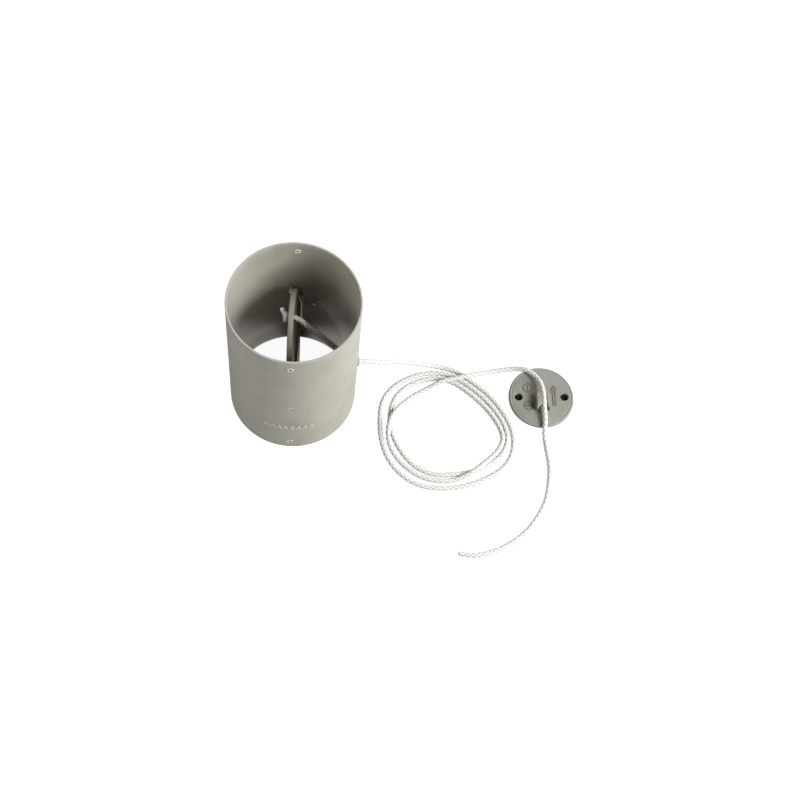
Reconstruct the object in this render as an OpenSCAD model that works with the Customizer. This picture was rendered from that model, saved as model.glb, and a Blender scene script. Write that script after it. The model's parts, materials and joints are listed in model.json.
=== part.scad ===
// Round duct shut-off damper worked by a pull cord, with a cord guide plate.
// The duct tube stands on its lower end, with the origin at the centre of that end.
// +Z runs up the duct, the flap's axle lies along Y and the cord leaves towards +X.

/* [Duct tube] */
// Outer radius of the tube
tube_r = 50; // [48:0.5:52]
// Length of the tube
tube_len = 147; // [140:1:160]
// Wall thickness at the two sockets
socket_wall = 1.5; // [1.2:0.1:2.2]
// Depth of the socket at each end
socket_depth = 20; // [16:1:22]
// How much thicker the wall is between the sockets
wall_step = 0.6; // [0.6:0.1:1]
// Radius of the fixing screw holes in the sockets
screw_hole_r = 1.5; // [1.2:0.1:2]
// Height of a fixing screw hole from its end of the tube
screw_hole_inset = 10.7; // [8:0.1:13]

/* [Flap] */
// Height of the flap's axle above the tube's lower end
pivot_z = 70.5; // [66:0.5:78]
// Radius of the flap disc
flap_r = 47.2; // [46.8:0.1:47.4]
// Thickness of the flap disc
flap_t = 4; // [3:0.5:4.5]
// Angle by which the open flap leans away from the cord
open_lean = 3; // [2:0.5:4]
// Radius of the axle
axle_r = 2; // [1.5:0.1:2.4]
// Radius of the moulded hub around the axle
hub_r = 3.4; // [3:0.1:4]
// Distance of the cord hole from the axle
cord_hole_rise = 37.5; // [34:0.5:40]
// Sideways place of the cord hole
cord_hole_y = 8; // [0:1:10]

/* [Cord] */
// Radius of the braided cord
cord_r = 2; // [1.5:0.1:2]
// Height of the cord outlet above the tube's lower end
outlet_z = 57; // [52:1:60]

/* [Guide plate] */
// Radius of the guide plate
plate_r = 26.6; // [25:0.1:28]
// Thickness of the guide plate
plate_t = 3; // [2.5:0.5:3.5]
// Thickness of the foam pad under the plate
pad_t = 1; // [0.5:0.5:1.5]
// Distance between the two screw holes of the plate
plate_hole_pitch = 37.5; // [34:0.5:38]
// Radius of the plate's screw holes
plate_hole_r = 3.3; // [2.5:0.1:3.5]
// Angle by which the plate lies turned
plate_turn = 3; // [0:1:6]

/* [Hidden] */

grey = [0.62, 0.62, 0.57];
white = [0.93, 0.93, 0.90];
steel = [0.70, 0.71, 0.72];
black = [0.06, 0.06, 0.06];
over = 1;                                    // how far a cutter reaches past the face it cuts

socket_r = tube_r - socket_wall;
bore_r = socket_r - wall_step;

// The bushes, washers and axle stand in a row along Y, counted outwards from the flap.
bush_barrel_r = 3;
bush_flange_r = 5.5;
running_gap = 0.05;                          // radial clearance of the axle in its bushes
press = 0.01;                                // radial overlap of a pressed-in piece
flange_in = 46.6;
flange_out = 47.5;
bush_end = tube_r + 0.3;
washer_in = 45.5;
washer_t = 0.8;
hub_front = 45.2;
hub_rear = 39.2;
notch_half = 6.3;                            // half height of the notches that clear the bushes

stop_r = 1.5;
stop_gap = 0.3;
stop_len = 3;                                // how far the closed stops stand out of the wall
open_stop_len = 5.6;                         // how far the open stop reaches in from the bore's edge
closed_stop_offset = flap_t / 2 + stop_gap + stop_r;

spring_wire_r = 0.45;
spring_coil_r = 4;
spring_turns = 5;
spring_start_y = 39.9;
spring_pitch = 0.95;
spring_leg_rise = 16;
anchor_r = 1.25;
anchor_x = 1.8;
anchor_z = 40;
anchor_reach = 4;                            // how far the anchor stands out of the wall

outlet_bush_r = 4;
outlet_flange_r = 6;
outlet_in = 46.2;
outlet_out = 51;

plate_c = [201.7, 3.5];
plate_top = pad_t + plate_t;

// Middle line of the cord from the flap to the outlet.
inner_route = [
    [2.2, 8, 107], [8, 7, 101], [18, 5, 90], [28, 3, 79], [36, 1, 70], [42, 0, 62], [46, 0, 58],
    [49, 0, outlet_z], [outlet_out, 0, outlet_z]
];

// Middle line of the free cord: down to the floor, three loose turns, over the plate, tail.
outlet_drop = [
    [outlet_out, 0, outlet_z], [60, 2, 54], [70, 5, 47], [80, 12, 36], [90, 18, 24], [100, 23, 13],
    [110, 26, 5]
];
first_turn = [
    [121, 26, 2], [134, 22, 2], [147, 13, 2], [158, 4, 2], [168, -8, 2], [175, -20, 2], [179, -34, 2],
    [177, -50, 2], [169, -62, 2], [157, -70, 2], [142, -77, 2], [126, -80, 2], [110, -80, 2], [96, -75, 2],
    [84, -65, 2], [76, -52, 2], [72, -37, 2], [71, -21, 2], [73, -6, 2], [81, 6, 2], [92, 14, 2]
];
second_turn = [
    [104, 19, 2], [117, 21, 2], [130, 18, 2], [142, 11, 2], [153, 2, 2], [163, -9, 2], [171, -21.5, 2],
    [174, -35, 2], [170, -48, 2], [159, -58, 2], [146, -65, 2], [131, -68, 2], [117, -69, 2], [104, -65, 2],
    [93, -56, 2], [85, -44, 2], [80, -31, 2], [79, -17, 2], [83, -3, 2], [92, 7, 2]
];
third_turn = [
    [103, 13, 2], [115, 16, 2], [127, 14, 2], [138, 8, 2], [149, -1, 2], [158.4, -10.6, 2], [166.3, -22.6, 2.6],
    [170.2, -35.5, 4.4], [166, -47, 6], [157, -57, 7], [145, -67, 6], [131, -73, 2], [116, -74, 2], [102, -70, 2],
    [90, -61, 2], [82, -51, 2], [78, -40, 4], [78, -30, 6], [81, -20, 6], [88, -10, 3]
];
lead_to_plate = [
    [99, 0, 2], [111, 7, 3], [120, 12, 6], [128, 14, 6], [138, 17, 7], [148, 20, 5], [159, 24, 2],
    [171, 27, 2], [181, 28, 3], [188, 27, 6]
];
over_plate = [
    [195, 22, 7], [200, 15, 9], [202, 7, 10], [203, 0, 10], [203, -7, 9], [204, -14, 8], [204, -23, 6]
];
tail = [
    [204, -31, 3], [206, -44, 2], [208, -58, 2], [207, -73, 2], [204, -88, 2], [197, -102, 2],
    [188, -114, 2], [176, -124, 2], [163, -131, 2], [149, -135, 2], [136, -134, 2]
];
cord_route = concat(
    outlet_drop, first_turn, second_turn, third_turn, lead_to_plate, over_plate, tail
);

function unit(v) = v / norm(v);

// Direction of a route at point i.
function heading(route, i) =
    let (last = len(route) - 1)
    unit(route[min(i + 1, last)] - route[max(i - 1, 0)]);

// A tube of the given radius along a route, with flat ends.
module tube_along(route, radius, sides) {
    rings = [
        for (i = [0 : len(route) - 1])
            let (
                ahead = heading(route, i),
                side = unit(cross(ahead, abs(ahead[2]) > 0.9 ? [0, 1, 0] : [0, 0, 1])),
                top = cross(side, ahead)
            )
            for (k = [0 : sides - 1])
                let (turn = 360 * (k + 0.5) / sides)
                route[i] + radius * (cos(turn) * side + sin(turn) * top)
    ];
    last = len(route) - 1;
    walls = [
        for (i = [0 : last - 1], k = [0 : sides - 1])
            let (next = (k + 1) % sides)
            [i * sides + k, i * sides + next, (i + 1) * sides + next, (i + 1) * sides + k]
    ];
    start_cap = [for (k = [0 : sides - 1]) sides - 1 - k];
    end_cap = [for (k = [0 : sides - 1]) last * sides + k];
    polyhedron(points = rings, faces = concat([start_cap], walls, [end_cap]), convexity = 10);
}

// A cylinder along Y from y0 to y1, at the height of the axle.
module along_y(radius, y0, y1) {
    translate([0, y0, pivot_z]) rotate([-90, 0, 0]) cylinder(r = radius, h = y1 - y0, $fn = 64);
}

// Places a child made in the flap's own upright plane into the open, leaning flap.
module on_flap() {
    translate([0, 0, pivot_z]) rotate([0, -open_lean, 0]) children();
}

// Raised arrowheads on the tube's front that show the way of the air.
module airflow_mark() {
    mark_rise = 0.5;
    mark_z = 35.5;
    chevrons = 8;
    step = 5.7;                                // degrees from one arrowhead to the next
    turn = -1;                               // degrees from the tube's front to the mark's middle
    intersection() {
        difference() {
            cylinder(r = tube_r + mark_rise, h = 2 * mark_z, $fn = 180);
            translate([0, 0, -over]) cylinder(r = tube_r - 0.2, h = 2 * mark_z + 2 * over, $fn = 180);
        }
        for (i = [0 : chevrons - 1])
            rotate([0, 0, (i - (chevrons - 1) / 2) * step + turn])
                translate([0, -tube_r + 2, mark_z])
                    rotate([90, 0, 0])
                        linear_extrude(height = 4)
                            polygon([[-2, -3.8], [0, 0.4], [2, -3.8], [2, -0.6], [0, 3.8], [-2, -0.6]]);
    }
}

module duct_tube() color(grey) {
    difference() {
        union() {
            cylinder(r = tube_r, h = tube_len, $fn = 180);
            airflow_mark();
        }
        translate([0, 0, -over]) cylinder(r = bore_r, h = tube_len + 2 * over, $fn = 180);
        translate([0, 0, -over]) cylinder(r = socket_r, h = socket_depth + over, $fn = 180);
        translate([0, 0, tube_len - socket_depth])
            cylinder(r = socket_r, h = socket_depth + over, $fn = 180);
        for (z = [screw_hole_inset, tube_len - screw_hole_inset])
            translate([0, 0, z - pivot_z]) along_y(screw_hole_r, -tube_r - over, tube_r + over);
        along_y(bush_barrel_r, -tube_r - over, tube_r + over);
        translate([bore_r - 5, 0, outlet_z]) rotate([0, 90, 0])
            cylinder(r = outlet_bush_r, h = 10, $fn = 64);
        stop_pin_bodies(stop_r, 0, 0.6);
        anchor_body(anchor_r, 0);
    }
}

// One bush: a barrel through the wall and a flange inside it. side is 1 at the rear, -1 at the front.
module axle_bush(side) {
    mirror([0, side > 0 ? 0 : 1, 0]) difference() {
        union() {
            along_y(bush_flange_r, flange_in, flange_out);
            along_y(bush_barrel_r + press, flange_out - 0.2, bush_end);
        }
        along_y(axle_r + running_gap, flange_in - over, bush_end + over);
    }
}
module front_bush() color(grey) axle_bush(-1);
module rear_bush() color(grey) axle_bush(1);

// The three stops are round pins pressed into the wall, pointing at the tube's axis:
// [angle around the tube, height].
stop_places = [
    [73, pivot_z - closed_stop_offset],
    [215, pivot_z + closed_stop_offset]
];
open_stop = [-(flap_t / 2 + stop_r + 1.1), pivot_z + 14];

module stop_pin_bodies(radius, inward, open_inward) {
    for (place = stop_places)
        rotate([0, 0, place[0]])
            translate([bore_r - inward, 0, place[1]])
                rotate([0, 90, 0])
                    cylinder(r = radius, h = tube_r - bore_r - 0.2 + inward, $fn = 32);
    translate([open_stop[0], bore_r - open_inward, open_stop[1]])
        rotate([-90, 0, 0]) cylinder(r = radius, h = tube_r - bore_r - 0.6 + open_inward, $fn = 32);
}
module stop_pins() color(steel) stop_pin_bodies(stop_r + press, stop_len, open_stop_len);

// A small pin in the rear wall that holds the spring's long leg.
module anchor_body(radius, inward) {
    translate([anchor_x, bore_r - 0.6 - inward, anchor_z])
        rotate([-90, 0, 0]) cylinder(r = radius, h = tube_r - bore_r + inward, $fn = 32);
}
module spring_anchor() color(steel) anchor_body(anchor_r + press, anchor_reach);

// Torsion spring: a short leg on the flap's face, a coil round the axle, a long leg to the anchor.
spring_steps = 12;
spring_coil = [
    for (i = [0 : spring_turns * spring_steps])
        let (turn = 360 * i / spring_steps)
        [
            spring_coil_r * cos(turn),
            spring_start_y + spring_pitch * i / spring_steps,
            pivot_z - spring_coil_r * sin(turn)
        ]
];
spring_short_end = [spring_coil_r / 2, spring_start_y - 1, pivot_z + spring_leg_rise];
spring_long_end = [spring_coil_r, spring_start_y + spring_pitch * spring_turns, anchor_z - 2];
module return_spring() color(steel)
    tube_along(concat([spring_short_end], spring_coil, [spring_long_end]), spring_wire_r, 6);

module flap_disc() color(grey) on_flap() difference() {
    union() {
        translate([-flap_t / 2, 0, 0]) rotate([0, 90, 0]) cylinder(r = flap_r, h = flap_t, $fn = 180);
        translate([0, -hub_front, 0]) rotate([-90, 0, 0])
            cylinder(r = hub_r, h = hub_front + hub_rear, $fn = 64);
    }
    translate([0, -hub_front, 0]) rotate([90, 0, 0]) cylinder(r = notch_half, h = 5, $fn = 64);
    translate([0, hub_rear, 0]) rotate([-90, 0, 0]) cylinder(r = notch_half, h = 10, $fn = 64);
    translate([0, -flap_r - over, 0]) rotate([-90, 0, 0])
        cylinder(r = axle_r, h = 2 * flap_r + 2 * over, $fn = 64);
    translate([-flap_t, cord_hole_y, cord_hole_rise]) rotate([0, 90, 0])
        cylinder(r = cord_r + 0.5, h = 2 * flap_t, $fn = 48);
    flap_screw_bodies();
}

module flap_axle() color(steel) difference() {
    along_y(axle_r, -bush_end, bush_end);
    on_flap() flap_screw_bodies();
}

module axle_washers() color(steel) for (side = [0, 1])
    mirror([0, side, 0]) difference() {
        along_y(4.5, washer_in, washer_in + washer_t);
        along_y(axle_r, washer_in - over, washer_in + washer_t + over);
    }

// Two screws that hold the flap on its axle, driven in from the face away from the cord.
flap_screw_y = 22;
flap_screw_head_r = 2.5;
flap_screw_head_h = 1.6;
flap_screw_r = 1.2;
flap_screw_start = -hub_r - 1.4;             // where a head's outer face stands
flap_screw_end = 1;                          // how far a shank reaches past the axle's middle
module flap_screw_bodies() {
    for (y = [-flap_screw_y, flap_screw_y])
        translate([flap_screw_start, y, 0]) rotate([0, 90, 0]) {
            cylinder(r = flap_screw_head_r, h = flap_screw_head_h, $fn = 32);
            cylinder(r = flap_screw_r, h = flap_screw_end - flap_screw_start, $fn = 32);
        }
}
module flap_screws() color(steel) on_flap() flap_screw_bodies();

// The knot that holds the cord against the flap, with its short end and the strand in the hole.
knot_r = 3.8;
knot_gap = -0.2;                             // the knot is pulled a little into the flap's face
knot_end_len = 8.5;
knot_end_turn = [-58, -49, 0];
module cord_knot() color(white) on_flap() translate([-flap_t / 2, cord_hole_y, cord_hole_rise]) {
    translate([-knot_r - knot_gap, 0, 0]) sphere(r = knot_r, $fn = 48);
    translate([-1, 0, 0]) rotate([0, 90, 0]) cylinder(r = cord_r, h = flap_t + 1.2, $fn = 32);
    translate([-knot_r, 0, 1]) rotate(knot_end_turn) cylinder(r = cord_r, h = knot_end_len, $fn = 32);
}

// Bush that lines the cord's hole in the wall, with its flange inside.
module outlet_bush() color(grey) translate([0, 0, outlet_z]) rotate([0, 90, 0]) difference() {
    union() {
        translate([0, 0, outlet_in]) cylinder(r = outlet_flange_r, h = 1.2, $fn = 64);
        translate([0, 0, outlet_in]) cylinder(r = outlet_bush_r + press, h = outlet_out - outlet_in, $fn = 64);
    }
    translate([0, 0, outlet_in - over])
        cylinder(r = cord_r + 0.8, h = outlet_out - outlet_in + 2 * over, $fn = 64);
    translate([0, 0, outlet_in - 0.01]) cylinder(r1 = cord_r + 2.4, r2 = cord_r + 0.8, h = 2, $fn = 64);
}

module inner_cord() color(white) tube_along(inner_route, cord_r, 8);
module pull_cord() color(white) tube_along(cord_route, cord_r, 8);

// Places a child made round the plate's own centre.
module on_plate() {
    translate([plate_c[0], plate_c[1], 0]) rotate([0, 0, plate_turn]) children();
}

// The two jaws that pinch the cord, with flared lower ends.
jaw_shift = 1.3;                             // the jaws stand a little to one side of the middle
jaw_inner = 2.2;
jaw_outer = [4.2, 6.2];                      // the jaw on the arrow's side is the thinner one
jaw_top = [5.5, 7];
jaw_low_y = -13;
jaw_high_y = 1;
module jaws() {
    for (side = [0, 1])
        mirror([side, 0, 0]) linear_extrude(height = jaw_top[side])
            polygon([
                [jaw_inner, jaw_low_y + 4], [jaw_outer[side], jaw_low_y],
                [jaw_outer[side], jaw_high_y], [jaw_inner, jaw_high_y]
            ]);
}

// Raised signs: an upright bar in a ring for open, a level bar in a ring for closed, and an arrow.
sign_rise = 0.4;
sign_place = [-10.8, 8];
arrow_place = 10.4;
module flow_sign(angle) {
    linear_extrude(height = sign_rise) {
        difference() {
            circle(r = 4, $fn = 48);
            circle(r = 3.2, $fn = 48);
        }
        rotate(angle) square([0.9, 5], center = true);
    }
}
module arrow_sign() {
    linear_extrude(height = sign_rise) difference() {
        polygon([[-1.4, -8], [1.4, -8], [1.4, 6], [3, 6], [0, 10.5], [-3, 6], [-1.4, 6]]);
        polygon([[-0.7, -7.3], [0.7, -7.3], [0.7, 6.7], [1.6, 6.7], [0, 9.2], [-1.6, 6.7], [-0.7, 6.7]]);
    }
}

module guide_plate() color(grey) on_plate() {
    difference() {
        rotate_extrude($fn = 180)
            polygon([
                [0, pad_t], [plate_r, pad_t], [plate_r, plate_top - 1],
                [plate_r - 1, plate_top], [0, plate_top]
            ]);
        for (x = [-0.5, 0.5] * plate_hole_pitch)
            translate([x, 0, 0]) cylinder(r = plate_hole_r, h = plate_top + over, $fn = 64);
    }
    translate([jaw_shift, 0, plate_top]) jaws();
    translate([sign_place[0], sign_place[1], plate_top]) flow_sign(0);
    translate([sign_place[0], -sign_place[1], plate_top]) flow_sign(90);
    translate([arrow_place, 0, plate_top]) arrow_sign();
}

module foam_pad() color(black) on_plate() difference() {
    cylinder(r = plate_r - 1, h = pad_t, $fn = 180);
    for (x = [-0.5, 0.5] * plate_hole_pitch)
        translate([x, 0, -over]) cylinder(r = plate_hole_r, h = pad_t + 2 * over, $fn = 64);
}

duct_tube();
front_bush();
rear_bush();
stop_pins();
spring_anchor();
return_spring();
flap_disc();
flap_axle();
axle_washers();
flap_screws();
cord_knot();
outlet_bush();
inner_cord();
pull_cord();
guide_plate();
foam_pad();
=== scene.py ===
"""Round duct damper with a pull cord and a cord guide plate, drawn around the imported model."""

import json
import math

import bpy
import numpy as np
from mathutils import Matrix, Vector


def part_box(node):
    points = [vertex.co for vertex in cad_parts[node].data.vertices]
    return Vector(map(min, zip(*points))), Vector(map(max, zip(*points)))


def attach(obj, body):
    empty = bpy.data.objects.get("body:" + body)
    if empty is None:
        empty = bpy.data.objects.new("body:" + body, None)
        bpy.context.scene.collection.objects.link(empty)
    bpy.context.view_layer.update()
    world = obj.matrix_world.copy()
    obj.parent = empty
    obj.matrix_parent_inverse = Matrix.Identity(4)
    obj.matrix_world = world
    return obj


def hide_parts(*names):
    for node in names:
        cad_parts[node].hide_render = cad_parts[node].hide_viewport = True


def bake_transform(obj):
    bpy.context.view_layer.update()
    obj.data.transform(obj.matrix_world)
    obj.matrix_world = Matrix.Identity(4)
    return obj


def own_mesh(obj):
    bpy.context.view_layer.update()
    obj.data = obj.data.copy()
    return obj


bl_info = {
    "name": "Duct Damper With Pull Cord",
    "version": (1, 0, 0),
    "blender": (4, 5, 0),
    "location": "View3D > Sidebar > Damper",
    "description": "Builds a round duct damper, its pull cord and its guide plate",
    "category": "Object",
}

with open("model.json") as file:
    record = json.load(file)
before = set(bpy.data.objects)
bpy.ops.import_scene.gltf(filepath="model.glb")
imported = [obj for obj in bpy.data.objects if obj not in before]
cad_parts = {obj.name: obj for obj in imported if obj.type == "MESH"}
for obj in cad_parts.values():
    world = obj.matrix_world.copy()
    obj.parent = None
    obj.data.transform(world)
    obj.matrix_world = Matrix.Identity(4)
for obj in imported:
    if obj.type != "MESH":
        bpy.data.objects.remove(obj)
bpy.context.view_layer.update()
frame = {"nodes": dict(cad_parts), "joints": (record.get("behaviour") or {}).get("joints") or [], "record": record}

MM = 0.001
DEG = math.radians(1)
MERGE = 0.002 * MM  # points closer than this become one
SHARP_EDGE = 40 * DEG  # edges that turn by more than this are bevelled

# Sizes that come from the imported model
MOUNTS = {mount["name"]: mount for mount in frame["record"]["mounts"]}
TUBE_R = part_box("duct_tube")[1].x
TUBE_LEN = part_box("duct_tube")[1].z
SOCKET_R = MOUNTS["lower_socket"]["dims"]["r_mm"] * MM
SOCKET_DEPTH = MOUNTS["lower_socket"]["dims"]["length_mm"] * MM
PIVOT_Z = frame["joints"][0]["pos_m"][2]
BUSH_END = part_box("rear_bush")[1].y
BUSH_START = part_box("rear_bush")[0].y
WASHER_T = 0.8 * MM
WASHER_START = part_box("axle_washers")[1].y - WASHER_T
AXLE_R = (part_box("flap_axle")[1].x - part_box("flap_axle")[0].x) / 2
OUTLET = Vector((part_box("outlet_bush")[1].x, 0, sum(c.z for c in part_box("outlet_bush")) / 2))
OUTLET_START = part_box("outlet_bush")[0].x
PLATE_CENTRE = Vector(MOUNTS["plate_screws"]["pos_m"][:2] + [0])
PLATE_TOP = MOUNTS["plate_screws"]["pos_m"][2]
PLATE_HOLE_R = MOUNTS["plate_screws"]["dims"]["hole_r_mm"] * MM
PLATE_HOLE_PITCH = MOUNTS["plate_screws"]["dims"]["pcd_mm"] * MM
PLATE_R = (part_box("guide_plate")[1].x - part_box("guide_plate")[0].x) / 2
PAD_R = (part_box("foam_pad")[1].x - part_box("foam_pad")[0].x) / 2
PAD_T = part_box("foam_pad")[1].z

# Sizes that two pieces share
BUSH_R = 3 * MM
OUTLET_R = 4 * MM
HUB_END = 39.2 * MM  # from the tube's middle to the hub's end at the spring
CORD_HOLE = Vector((0, 8 * MM, 37.5 * MM))  # from the axle, on the upright flap
BURR_REACH = 14 * MM  # how far from the upper rim the inner burrs end, and with them their painted highlight
PAINTED_HIGHLIGHT_TONE = 2.1  # painted highlight: how much lighter raised marks and burrs are painted than the tube

# The pull cord's middle line, in millimetres, as in the part's source
CORD_ROUTE = [
    # from the outlet down to the floor
    (51, 0, 57), (60, 2, 54), (70, 5, 47), (80, 12, 36), (90, 18, 24), (100, 23, 13), (110, 26, 5),
    # first turn
    (121, 26, 2), (134, 22, 2), (147, 13, 2), (158, 4, 2), (168, -8, 2), (175, -20, 2),
    (179, -34, 2), (177, -50, 2), (169, -62, 2), (157, -70, 2), (142, -77, 2), (126, -80, 2),
    (110, -80, 2), (96, -75, 2), (84, -65, 2), (76, -52, 2), (72, -37, 2), (71, -21, 2),
    (73, -6, 2), (81, 6, 2), (92, 14, 2),
    # second turn
    (104, 19, 2), (117, 21, 2), (130, 18, 2), (142, 11, 2), (153, 2, 2), (163, -9, 2),
    (171, -21.5, 2), (174, -35, 2), (170, -48, 2), (159, -58, 2), (146, -65, 2), (131, -68, 2),
    (117, -69, 2), (104, -65, 2), (93, -56, 2), (85, -44, 2), (80, -31, 2), (79, -17, 2),
    (83, -3, 2), (92, 7, 2),
    # third turn, over the earlier ones at the left
    (103, 13, 2), (115, 16, 2), (127, 14, 2), (138, 8, 2), (149, -1, 2), (158.4, -10.6, 2),
    (166.3, -22.6, 2.6), (170.2, -35.5, 4.4), (166, -47, 6), (157, -57, 7), (145, -67, 6),
    (131, -73, 2), (116, -74, 2), (102, -70, 2), (90, -61, 2), (82, -51, 2), (78, -40, 4),
    (78, -30, 6), (81, -20, 6), (88, -10, 3),
    # across the turns to the plate
    (99, 0, 2), (111, 7, 3), (120, 12, 6), (128, 14, 6), (138, 17, 7), (148, 20, 5),
    (159, 24, 2), (171, 27, 2), (181, 28, 3), (188, 27, 6),
    # over the plate, between its jaws
    (195, 22, 7), (200, 15, 9), (202, 7, 10), (203, 0, 10), (203, -7, 9), (204, -14, 8),
    (204, -23, 6),
    # the loose end
    (204, -31, 3), (206, -44, 2), (208, -58, 2), (207, -73, 2), (204, -88, 2), (197, -102, 2),
    (188, -114, 2), (176, -124, 2), (163, -131, 2), (149, -135, 2), (136, -134, 2),
]

# The cord's middle line inside the tube, from the flap to the outlet
INNER_ROUTE = [
    (0.6, 8, 107.7), (2.4, 8, 106.8), (8, 7, 101), (18, 5, 90), (28, 3, 79), (36, 1, 70),
    (42, 0, 62), (46, 0, 58), (49, 0, 57), (52, 0, 57),
]


# ---------------------------------------------------------------- settings


class DuctSettings(bpy.types.PropertyGroup):
    """Sizes and colours of the duct tube and what is pressed into it."""

    wall_step: bpy.props.FloatProperty(
        name="Wall step", description="How much thicker the wall is between the sockets",
        default=0.6 * MM, unit="LENGTH")
    rim_round: bpy.props.FloatProperty(
        name="Rim rounding", description="Radius of the rounded edges of the two rims",
        default=0.3 * MM, unit="LENGTH")
    socket_taper: bpy.props.FloatProperty(
        name="Socket taper", description="Length over which the wall thickens behind a socket",
        default=14 * MM, unit="LENGTH")
    screw_hole_r: bpy.props.FloatProperty(
        name="Screw hole radius", description="Radius of the fixing holes in the sockets",
        default=1.5 * MM, unit="LENGTH")
    screw_hole_inset: bpy.props.FloatProperty(
        name="Screw hole inset", description="Height of a fixing hole from its end of the tube",
        default=10.7 * MM, unit="LENGTH")
    pale: bpy.props.FloatVectorProperty(
        name="Pale grey", description="Lighter tone of the tube's plastic",
        default=(0.40, 0.39, 0.335), subtype="COLOR", min=0, max=1)
    deep: bpy.props.FloatVectorProperty(
        name="Deep grey", description="Darker tone of the tube's plastic",
        default=(0.345, 0.335, 0.285), subtype="COLOR", min=0, max=1)


class FlapSettings(bpy.types.PropertyGroup):
    """Sizes and colours of the flap that closes the duct."""

    radius: bpy.props.FloatProperty(
        name="Radius", description="Radius of the flap disc", default=47.2 * MM, unit="LENGTH")
    thickness: bpy.props.FloatProperty(
        name="Thickness", description="Thickness of the flap's rim", default=4 * MM, unit="LENGTH")
    lean: bpy.props.FloatProperty(
        name="Lean", description="Angle by which the open flap leans away from the cord",
        default=3 * DEG, subtype="ANGLE")
    pale: bpy.props.FloatVectorProperty(
        name="Pale grey", description="Lighter tone of the flap's plastic",
        default=(0.33, 0.32, 0.275), subtype="COLOR", min=0, max=1)
    deep: bpy.props.FloatVectorProperty(
        name="Deep grey", description="Darker tone of the flap's plastic",
        default=(0.27, 0.26, 0.22), subtype="COLOR", min=0, max=1)


class CordSettings(bpy.types.PropertyGroup):
    """The braid of the cord."""

    radius: bpy.props.FloatProperty(
        name="Radius", description="Radius of the braided cord", default=2 * MM, unit="LENGTH")
    length: bpy.props.FloatProperty(
        name="Length", description="Length of the free cord, from the outlet to its cut end",
        default=1.26, unit="LENGTH")
    strands: bpy.props.IntProperty(
        name="Strands", description="Strands that turn each way round the braid", default=4, min=2)
    pick: bpy.props.FloatProperty(
        name="Pick", description="Length along the cord from one strand to the next",
        default=4.5 * MM, unit="LENGTH")
    white: bpy.props.FloatVectorProperty(
        name="White", description="Colour of the yarn", default=(0.79, 0.785, 0.755),
        subtype="COLOR", min=0, max=1)
    # Painted shade: the grey painted into the crevices between the strands.
    shade: bpy.props.FloatVectorProperty(
        name="Shade", description="Colour between the strands", default=(0.33, 0.32, 0.295),
        subtype="COLOR", min=0, max=1)


class PlateSettings(bpy.types.PropertyGroup):
    """Sizes and colours of the guide plate."""

    turn: bpy.props.FloatProperty(
        name="Turn", description="Angle by which the plate lies turned", default=3 * DEG,
        subtype="ANGLE")
    pale: bpy.props.FloatVectorProperty(
        name="Pale grey", description="Lighter tone of the plate's plastic",
        default=(0.31, 0.305, 0.265), subtype="COLOR", min=0, max=1)
    deep: bpy.props.FloatVectorProperty(
        name="Deep grey", description="Darker tone of the plate's plastic",
        default=(0.265, 0.26, 0.225), subtype="COLOR", min=0, max=1)


class StudioSettings(bpy.types.PropertyGroup):
    """Camera, floor and lights."""

    azimuth: bpy.props.FloatProperty(
        name="Azimuth", description="Turn of the camera round the object", default=-6.6 * DEG,
        subtype="ANGLE")
    elevation: bpy.props.FloatProperty(
        name="Elevation", description="Angle of the camera above the floor", default=64.4 * DEG,
        subtype="ANGLE")
    roll: bpy.props.FloatProperty(
        name="Roll", description="Turn of the camera about its own line of sight",
        default=8.97 * DEG, subtype="ANGLE")
    distance: bpy.props.FloatProperty(
        name="Distance", description="Distance of the camera from what it looks at",
        default=1.2427, unit="LENGTH")
    aim: bpy.props.FloatVectorProperty(
        name="Aim", description="Point that the camera looks at",
        default=(0.08679, -0.00423, 0), unit="LENGTH")
    lens: bpy.props.FloatProperty(
        name="Lens", description="Focal length of the camera in millimetres", default=69.02)
    key_power: bpy.props.FloatProperty(
        name="Key light", description="Power of the large light at the right", default=27)
    side_power: bpy.props.FloatProperty(
        name="Side light", description="Power of the low light at the right", default=8)
    fill_power: bpy.props.FloatProperty(
        name="Fill light", description="Power of the soft light at the left", default=6)
    spot_power: bpy.props.FloatProperty(
        name="Knot spot", description="Power of the narrow light on the knot", default=55)
    sky: bpy.props.FloatProperty(
        name="Sky", description="Strength of the bright band low in the sky", default=0.75)
    table_glow: bpy.props.FloatProperty(
        name="Table glow", description="How bright the light table itself looks", default=0.95)
    # Painted reflection: how bright the sheet that shows only in the tube's inner wall glows.
    painted_reflection_glow: bpy.props.FloatProperty(
        name="Inner glow", description="How bright the table inside the tube is in reflections",
        default=1.25)
    table_bounce: bpy.props.FloatProperty(
        name="Table bounce", description="Share of the light that the table throws back up",
        default=0.5)


# ---------------------------------------------------------------- modelling helpers


def only(piece):
    """Selects one piece and makes it active."""
    if bpy.context.object and bpy.context.object.mode != "OBJECT":
        bpy.ops.object.mode_set(mode="OBJECT")
    bpy.ops.object.select_all(action="DESELECT")
    if piece:
        piece.select_set(True)
        bpy.context.view_layer.objects.active = piece
    return piece


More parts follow.
